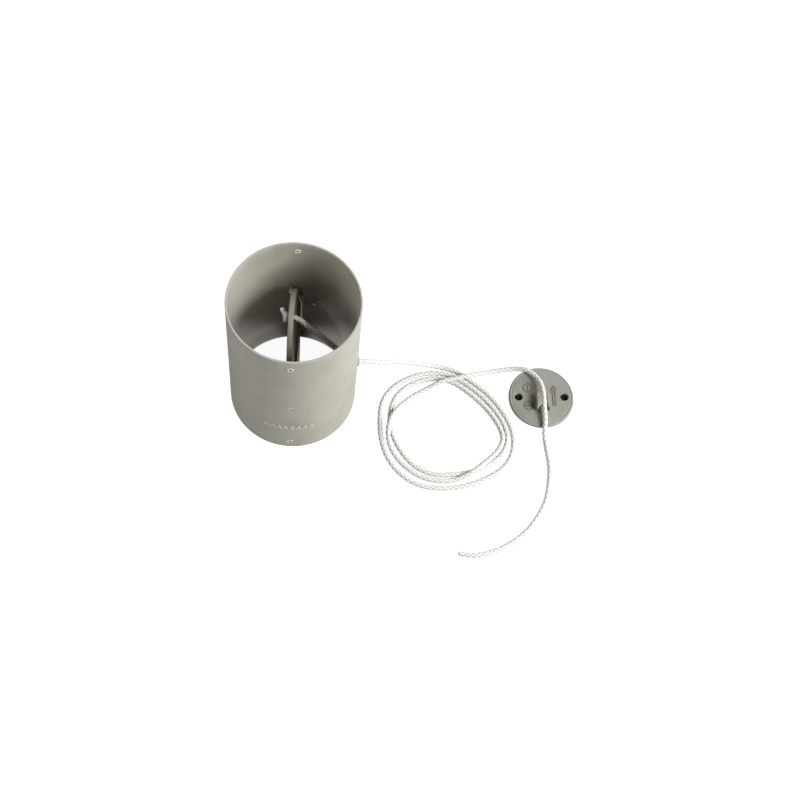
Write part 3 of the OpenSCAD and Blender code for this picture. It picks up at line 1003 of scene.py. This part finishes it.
class DAMPER_OT_pins(bpy.types.Operator):
    """Makes the flap's stop pins and the spring's anchor"""

    bl_idname = "damper.pins"
    bl_label = "Press in the pins"

    def execute(self, context):
        duct = context.scene.damper_duct
        bore = SOCKET_R - duct.wall_step
        stop_r, stop_len, open_len = 1.5 * MM, 3 * MM, 5.6 * MM
        offset = 3.8 * MM  # from the closed flap's middle to a stop's
        open_stop = (-4.6 * MM, PIVOT_Z + 14 * MM)

        def pin(radius, start, end):
            rings = [(radius - 0.7 * MM, start), (radius - 0.25 * MM, start + 0.18 * MM),
                     (radius, start + 0.7 * MM), (radius, end - 0.5 * MM),
                     (radius - 0.3 * MM, end)]
            return turned("pin", rings, 32)

        pins = []
        for turn, height in ((73, PIVOT_Z - offset), (215, PIVOT_Z + offset)):
            piece = stands(pin(stop_r, bore - stop_len, bore + 1.2 * MM), (0, 0, 0),
                           (0, math.pi / 2, 0))
            pins.append(stands(piece, (0, 0, height), (0, 0, turn * DEG)))
        piece = pin(stop_r, bore - open_len, bore + 0.6 * MM)
        pins.append(stands(piece, (open_stop[0], 0, open_stop[1]), (-math.pi / 2, 0, 0)))
        finished(joined("stop_pin_set", pins), "root", "stop_pins",
                 material("zinc"))

        anchor_r, groove_r = 1.25 * MM, 0.95 * MM
        start = bore - 4.6 * MM
        rings = [(0.8 * MM, start), (anchor_r, start + 0.35 * MM), (anchor_r, start + 1.4 * MM),
                 (groove_r, start + 1.7 * MM), (groove_r, start + 2.3 * MM),
                 (anchor_r, start + 2.6 * MM), (anchor_r, bore + 0.8 * MM)]
        piece = stands(turned("spring_anchor_pin", rings, 32), (1.8 * MM, 0, 40 * MM),
                       (-math.pi / 2, 0, 0))
        finished(piece, "root", "spring_anchor", material("zinc"))
        return {"FINISHED"}


class DAMPER_OT_spring(bpy.types.Operator):
    """Winds the spring that turns the flap open"""

    bl_idname = "damper.spring"
    bl_label = "Wind the spring"

    def execute(self, context):
        coil_r, turns, pitch, start_y = 4.0, 5, 0.95, 39.9
        pivot = PIVOT_Z / MM
        coil = [
            (coil_r * math.cos(turn), start_y + pitch * turn / (2 * math.pi),
             pivot - coil_r * math.sin(turn))
            for turn in np.linspace(0, 2 * math.pi * turns, 24 * turns + 1)
        ]
        end_y = coil[-1][1]
        short_leg = [(1.9, start_y - 1, pivot + 16), (2.3, start_y - 0.9, pivot + 13),
                     (3.6, start_y - 0.4, pivot + 4)]
        long_leg = [(coil_r, end_y, pivot - 6), (coil_r - 0.1, end_y, 50),
                    (3.9, end_y, 42), (3.6, end_y, 39.2), (2.4, end_y, 37.9), (0.9, end_y, 38.2)]
        line = smooth_route(short_leg + coil + long_leg, 0.35 * MM, 0.25 * MM)
        only(None)
        bpy.ops.curve.primitive_nurbs_path_add()
        piece = bpy.context.object
        piece.name = "return_spring_wire"
        curve = piece.data
        curve.splines.clear()
        spline = curve.splines.new("POLY")
        spline.points.add(len(line) - 1)
        for point, place in zip(spline.points, line):
            point.co = (*place, 1)
        curve.dimensions = "3D"
        curve.twist_mode = "MINIMUM"
        curve.bevel_depth = 0.45 * MM
        curve.bevel_resolution = 3
        curve.use_fill_caps = True
        bpy.ops.object.convert(target="MESH")
        piece = bpy.context.object
        finished(piece, None, "return_spring", material("spring_wire"), 50)
        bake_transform(piece)
        return {"FINISHED"}


class DAMPER_OT_flap(bpy.types.Operator):
    """Makes the flap disc with its hub, its bore and its cord hole"""

    bl_idname = "damper.flap"
    bl_label = "Mould the flap"

    def execute(self, context):
        flap = context.scene.damper_flap
        half = flap.thickness / 2
        web = half - 0.45 * MM
        lip = 3.2 * MM
        r = flap.radius
        rings = rounded([
            (2 * MM, -web, 0), (r - lip, -web, 0.4 * MM), (r - lip + 0.6 * MM, -half, 0.4 * MM),
            (r, -half, 1.3 * MM), (r, half, 1.3 * MM),
            (r - lip + 0.6 * MM, half, 0.4 * MM), (r - lip, web, 0.4 * MM), (2 * MM, web, 0)], 4)
        piece = stands(turned("flap_plate", rings, 240), (0, 0, 0), (0, math.pi / 2, 0))
        front_end = WASHER_START - 0.3 * MM
        past_rim = 60 * MM
        hub = rod("hub", 3.4 * MM, -HUB_END, front_end, 64, 0.3 * MM)
        worked(piece, stands(hub, (0, 0, 0), sideways()), "UNION")
        # each notch starts a hair past the hub's end, so that no two faces lie in one plane
        for hub_end, turn in ((front_end, 0), (HUB_END, math.pi)):
            notch = rod("notch", 6.3 * MM, hub_end + 0.03 * MM, past_rim, 64)
            worked(piece, stands(notch, (0, 0, 0), sideways(turn)))
        bore = rod("bore", AXLE_R + 0.02 * MM, -past_rim, past_rim)
        worked(piece, stands(bore, (0, 0, 0), sideways()))
        for turn in (1, -1):
            tool = stands(hole_tool(2.5 * MM, 6 * MM, 0.5 * MM), (0, 0, web))
            worked(piece, stands(tool, CORD_HOLE, (0, turn * math.pi / 2, 0)))
        stands(piece, (0, 0, PIVOT_Z), (0, -flap.lean, 0))
        finished(piece, "flap", "flap_disc", material("flap_grey"))
        return {"FINISHED"}


class DAMPER_OT_axle(bpy.types.Operator):
    """Makes the axle, its washers and the screws that hold the flap on it"""

    bl_idname = "damper.axle"
    bl_label = "Turn the axle"

    def execute(self, context):
        flap = context.scene.damper_flap
        piece = rod("axle_rod", AXLE_R, -BUSH_END, BUSH_END, chamfer=0.35 * MM)
        stands(piece, (0, 0, PIVOT_Z), sideways())
        finished(piece, "flap", "flap_axle", material("zinc"))

        washers = []
        for turn in (0, math.pi):
            start, end = WASHER_START, WASHER_START + WASHER_T
            rings = rounded([(AXLE_R, start, 0), (4.5 * MM, start, 0.15 * MM),
                             (4.5 * MM, end, 0.15 * MM), (AXLE_R, end, 0)])
            ring = turned("washer", rings, 48, loop=True)
            washers.append(stands(ring, (0, 0, PIVOT_Z), sideways(turn)))
        finished(joined("axle_washer_pair", washers), "flap", "axle_washers",
                 material("zinc"))

        screws = []
        shank_r, head_r, head_base = 1.2 * MM, 2.5 * MM, -3.2 * MM
        for y in (-22 * MM, 22 * MM):
            rings = [(shank_r, 0.9 * MM), (shank_r, head_base), (head_r, head_base)] + [
                (head_r - inward * MM, head_base - drop * MM)
                for inward, drop in ((0, 0.7), (0.35, 1.25), (1.0, 1.55), (1.8, 1.6))]
            screw = turned("screw", rings, 40)
            for turn in (0, math.pi / 2):
                slot = outline_block("slot", oblong(1.5, 0.25), -5.4 * MM, 1.4 * MM)
                worked(screw, stands(slot, (0, 0, 0), (0, 0, turn + 0.4)))
            screws.append(stands(screw, (0, y, 0), (0, math.pi / 2, 0)))
        piece = joined("flap_screw_pair", screws)
        stands(piece, (0, 0, PIVOT_Z), (0, -flap.lean, 0))
        finished(piece, "flap", "flap_screws", material("zinc"))
        return {"FINISHED"}


class DAMPER_OT_outlet(bpy.types.Operator):
    """Makes the bush that lines the cord's hole"""

    bl_idname = "damper.outlet"
    bl_label = "Line the outlet"

    def execute(self, context):
        start, end = OUTLET_START, OUTLET.x
        bore, mouth, flange_r = 2.8 * MM, 4.2 * MM, 6 * MM
        flange_end = start + 1.2 * MM
        rings = rounded([
            (mouth, start, 0.3 * MM), (flange_r, start, 0.3 * MM),
            (flange_r, flange_end, 0.2 * MM), (OUTLET_R, flange_end, 0),
            (OUTLET_R, end, 0.4 * MM), (bore + 0.3 * MM, end, 0.3 * MM),
            (bore, end - 0.8 * MM, 0), (bore, start + 1.6 * MM, 0)])
        piece = turned("outlet_ring", rings, 64, loop=True)
        stands(piece, (0, 0, OUTLET.z), (0, math.pi / 2, 0))
        finished(piece, "root", "outlet_bush", material("fitting_grey"))
        return {"FINISHED"}


class DAMPER_OT_plate(bpy.types.Operator):
    """Makes the guide plate with its jaws, screw holes and raised signs"""

    bl_idname = "damper.plate"
    bl_label = "Mould the guide plate"

    def execute(self, context):
        plate = context.scene.damper_plate
        top = PLATE_TOP
        groove = 0.25 * MM
        rings = rounded([
            (1 * MM, PAD_T, 0), (PLATE_R, PAD_T, 0.3 * MM), (PLATE_R, top - 0.9 * MM, 0.5 * MM),
            (PLATE_R - 0.9 * MM, top, 0.3 * MM), (PLATE_R - 1.5 * MM, top, 0.1 * MM),
            (PLATE_R - 1.8 * MM, top - groove, 0.1 * MM),
            (PLATE_R - 2.3 * MM, top - groove, 0.1 * MM),
            (PLATE_R - 2.6 * MM, top, 0.1 * MM), (1 * MM, top, 0)])
        piece = turned("guide_plate_disc", rings, 200)
        for side in (-1, 1):
            tool = hole_tool(PLATE_HOLE_R, 6 * MM, 0.35 * MM)
            worked(piece, stands(tool, (side * PLATE_HOLE_PITCH / 2, 0, top)))
        for side, outer, rise in ((1, 4.2, 5.5), (-1, 6.2, 7)):
            jaw = [(2.2, -9), (outer, -13), (outer, 1), (2.2, 1)]
            block = outline_block("jaw", [(side * x, y) for x, y in jaw],
                                  top - 0.4 * MM, (rise + 0.4) * MM, 0.5 * MM, 3)
            worked(piece, stands(block, (1.3 * MM, 0, 0)), "UNION")
        sunk, rise = 0.2 * MM, 0.4 * MM
        sign_x, arrow_x = -10.8 * MM, 10.4 * MM
        signs = []
        for y, turn in ((8 * MM, 0), (-8 * MM, math.pi / 2)):
            ring = rounded([(3.2 * MM, top - sunk, 0), (4 * MM, top - sunk, 0),
                            (4 * MM, top + rise, 0.12 * MM), (3.2 * MM, top + rise, 0.12 * MM)])
            signs.append(stands(turned("ring", ring, 64, loop=True), (sign_x, y, 0)))
            bar = outline_block("bar", oblong(0.45, 2.5), top - sunk, sunk + rise, 0.12 * MM)
            signs.append(stands(bar, (sign_x, y, 0), (0, 0, turn)))
        outer = [(-1.4, -8), (1.4, -8), (1.4, 6), (3, 6), (0, 10.5), (-3, 6), (-1.4, 6)]
        inner = [(-0.7, -7.3), (0.7, -7.3), (0.7, 6.7), (1.6, 6.7), (0, 9.2), (-1.6, 6.7),
                 (-0.7, 6.7)]
        arrow = outline_block("arrow", outer, top - sunk, sunk + rise, 0.1 * MM)
        core = outline_block("core", inner, top - 1 * MM, 3 * MM)
        signs.append(stands(worked(arrow, core), (arrow_x, 0, 0)))
        for sign in signs:
            worked(piece, sign, "UNION")
        stands(piece, PLATE_CENTRE, (0, 0, plate.turn))
        finished(piece, "root", "guide_plate", material("plate_grey"))
        return {"FINISHED"}


class DAMPER_OT_foam(bpy.types.Operator):
    """Cuts the foam pad that backs the guide plate"""

    bl_idname = "damper.foam"
    bl_label = "Cut the foam pad"

    def execute(self, context):
        plate = context.scene.damper_plate
        low, high, middle_r = 0.02 * MM, PAD_T + 0.05 * MM, 2 * MM
        edge_r = PAD_R - 0.1 * MM
        rings = rounded([(middle_r, low, 0), (edge_r, low, 0.2 * MM), (PAD_R, PAD_T / 2, 0.3 * MM),
                         (edge_r, high, 0.2 * MM), (middle_r, high, 0)])
        piece = turned("foam_backing", rings, 160)
        stands(piece, PLATE_CENTRE, (0, 0, plate.turn))
        finished(piece, "root", "foam_pad", material("black_foam"))
        return {"FINISHED"}


class DAMPER_OT_stage(bpy.types.Operator):
    """Lays the white table and sets the lights"""

    bl_idname = "damper.stage"
    bl_label = "Set the stage"

    def execute(self, context):
        studio = context.scene.damper_studio
        table_r, painted_flap_shadow_width = 8, 15 * MM
        # The table as the camera sees it, as it shows in the tube's inner wall, and as it
        # throws light back: three sheets, each seen only by its own kind of ray. The sheet in the
        # tube is a painted reflection, glowing only in reflections, with a painted shadow of the flap.
        for name, height, radius, tone, glow, rays in (
            ("light_table", -0.1 * MM, table_r, 0.25, studio.table_glow, "camera"),
            ("inner_table", -0.2 * MM, SOCKET_R, 0, studio.painted_reflection_glow, "glossy"),
            ("bounce_table", -0.3 * MM, table_r, studio.table_bounce, 0,
             "glossy diffuse shadow"),
        ):
            only(None)
            bpy.ops.mesh.primitive_circle_add(vertices=64, radius=radius, fill_type="NGON")
            floor = context.object
            floor.name = name
            stands(floor, (0, 0, height))
            floor.data.materials.append(table_white(
                name + "_white", tone, glow, painted_flap_shadow_width if name == "inner_table" else 0))
            for ray in ("camera", "glossy", "diffuse", "shadow", "transmission"):
                setattr(floor, "visible_" + ray, ray in rays)

        sky = Wiring.of_world("banded_sky")
        context.scene.world = sky.material
        direction = sky.node("ShaderNodeTexCoord").outputs["Generated"]
        rise = sky.node("ShaderNodeSeparateXYZ", Vector=direction).outputs["Z"]
        band = sky.maths("MULTIPLY", sky.ranged(rise, 0.16, 0.30, 0.3, 1),
                       sky.ranged(rise, 0.53, 0.63, 1, 0))
        sky.shader.inputs["Color"].default_value = (1, 0.995, 0.985, 1)
        sky.feed(sky.shader.inputs["Strength"], sky.maths("MULTIPLY", band, studio.sky))

        centre = Vector((0.08, -0.02, 0.05))
        lamp_distance, panel_size = 1.4, 0.7
        for name, azimuth, elevation, power in (
            ("key_panel", -22, 40, studio.key_power),
            ("side_panel", 25, 15, studio.side_power),
            ("fill_panel", 180, 29, studio.fill_power),
        ):
            bpy.ops.object.select_all(action="DESELECT")
            a, e = azimuth * DEG, elevation * DEG
            place = centre + lamp_distance * Vector(
                (math.cos(a) * math.cos(e), math.sin(a) * math.cos(e), math.sin(e)))
            bpy.ops.object.light_add(type="AREA", location=place)
            lamp = context.object
            lamp.name = name
            lamp.data.shape = "SQUARE"
            lamp.data.size = panel_size
            lamp.data.energy = power
            lamp.rotation_euler = (centre - place).to_track_quat("-Z", "Y").to_euler()
        aim = Vector((-11, 13, 109)) * MM  # the knot's upper side
        place = aim + lamp_distance * Vector((-0.44, -0.16, 0.88))
        bpy.ops.object.select_all(action="DESELECT")
        bpy.ops.object.light_add(type="SPOT", location=place)
        lamp = context.object
        lamp.name = "knot_spot"
        lamp.data.energy = studio.spot_power
        lamp.data.spot_size = 1.3 * DEG
        lamp.data.spot_blend = 0.5
        lamp.data.shadow_soft_size = 0.02
        lamp.rotation_euler = (aim - place).to_track_quat("-Z", "Y").to_euler()
        context.scene.view_settings.view_transform = "Standard"
        return {"FINISHED"}


class DAMPER_PT_panel(bpy.types.Panel):
    """Lists the settings and the steps in the sidebar"""

    bl_idname = "DAMPER_PT_panel"
    bl_label = "Duct Damper"
    bl_space_type = "VIEW_3D"
    bl_region_type = "UI"
    bl_category = "Damper"

    def draw(self, context):
        layout = self.layout
        for group in GROUPS:
            box = layout.box()
            settings = getattr(context.scene, group)
            for name in settings.__annotations__:
                box.prop(settings, name)
        for step in STEPS:
            layout.operator(step.bl_idname)


GROUPS = {
    "damper_duct": DuctSettings,
    "damper_flap": FlapSettings,
    "damper_cord": CordSettings,
    "damper_plate": PlateSettings,
    "damper_studio": StudioSettings,
}
STEPS = (
    DAMPER_OT_camera, DAMPER_OT_pull_cord, DAMPER_OT_inner_cord, DAMPER_OT_knot, DAMPER_OT_tube,
    DAMPER_OT_bushes, DAMPER_OT_pins, DAMPER_OT_spring, DAMPER_OT_flap, DAMPER_OT_axle,
    DAMPER_OT_outlet, DAMPER_OT_plate, DAMPER_OT_foam, DAMPER_OT_stage,
)


def register():
    """Registers the settings, the steps and the panel."""
    for group in GROUPS.values():
        bpy.utils.register_class(group)
    for name, group in GROUPS.items():
        setattr(bpy.types.Scene, name, bpy.props.PointerProperty(type=group))
    for step in STEPS:
        bpy.utils.register_class(step)
    bpy.utils.register_class(DAMPER_PT_panel)


def unregister():
    """Takes back what register added."""
    bpy.utils.unregister_class(DAMPER_PT_panel)
    for step in reversed(STEPS):
        bpy.utils.unregister_class(step)
    for name, group in GROUPS.items():
        delattr(bpy.types.Scene, name)
        bpy.utils.unregister_class(group)


def main():
    """Builds every piece in order."""
    register()
    bpy.ops.damper.camera()
    bpy.ops.damper.pull_cord()
    bpy.ops.damper.inner_cord()
    bpy.ops.damper.knot()
    bpy.ops.damper.tube()
    bpy.ops.damper.bushes()
    bpy.ops.damper.pins()
    bpy.ops.damper.spring()
    bpy.ops.damper.flap()
    bpy.ops.damper.axle()
    bpy.ops.damper.outlet()
    bpy.ops.damper.plate()
    bpy.ops.damper.foam()
    bpy.ops.damper.stage()


if __name__ == "__main__":
    main()
